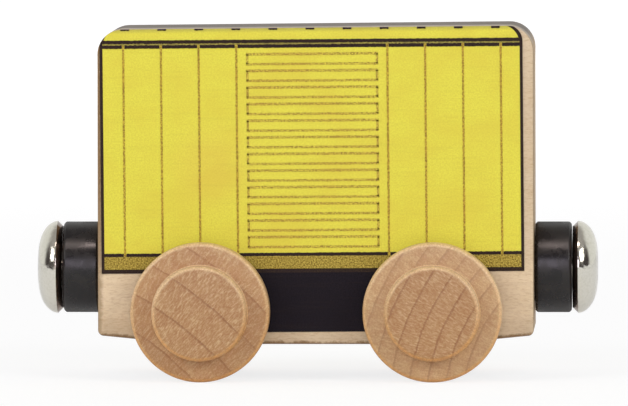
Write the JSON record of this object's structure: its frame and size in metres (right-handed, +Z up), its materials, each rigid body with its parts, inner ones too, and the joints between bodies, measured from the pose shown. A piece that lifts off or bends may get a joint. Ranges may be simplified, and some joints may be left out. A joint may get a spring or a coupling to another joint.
{
  "type": "wooden toy box car",
  "caption": "Toy railway box car: a printed wood block on turned wooden wheelsets that roll, with a ring magnet on a domed nail as the coupler at each end.",
  "frame": {"origin": "on the rail plane, under the middle of the car", "axes": "+X towards the front end, +Y towards the left-hand side, +Z up; the side with the slightly tilted print faces -Y"},
  "size_m": [0.0772, 0.0356, 0.0486],
  "materials": {
    "block_maple": "satin",
    "side_print": "matte",
    "wheel_maple": "satin",
    "axle_steel": "drawn",
    "ferrite": "polished",
    "nickel_plate": "bright nickel"
  },
  "bodies": {
    "body": {"body_block": "block_maple", "side_print_right": "side_print", "side_print_left": "side_print", "coupler_nail_front": "nickel_plate", "coupler_nail_rear": "nickel_plate"},
    "wheelset_front": {"axle_front": "axle_steel", "wheel_front_right": "wheel_maple", "wheel_front_left": "wheel_maple"},
    "wheelset_rear": {"axle_rear": "axle_steel", "wheel_rear_right": "wheel_maple", "wheel_rear_left": "wheel_maple"},
    "magnet_front": {"coupler_magnet_front": "ferrite"},
    "magnet_rear": {"coupler_magnet_rear": "ferrite"}
  },
  "joints": [
    {"name": "wheelset_front_spin", "type": "hinge", "parent": "body", "child": "wheelset_front", "pos_m": [0.01607, 0, 0.00953], "axis": [0, 1, 0], "continuous": true},
    {"name": "wheelset_rear_spin", "type": "hinge", "parent": "body", "child": "wheelset_rear", "pos_m": [-0.01568, 0, 0.00953], "axis": [0, 1, 0], "continuous": true},
    {"name": "magnet_front_spin", "type": "hinge", "parent": "body", "child": "magnet_front", "pos_m": [0.03247, 0, 0.01505], "axis": [1, 0, 0], "continuous": true},
    {"name": "magnet_rear_spin", "type": "hinge", "parent": "body", "child": "magnet_rear", "pos_m": [-0.03247, 0, 0.01505], "axis": [1, 0, 0], "continuous": true}
  ]
}
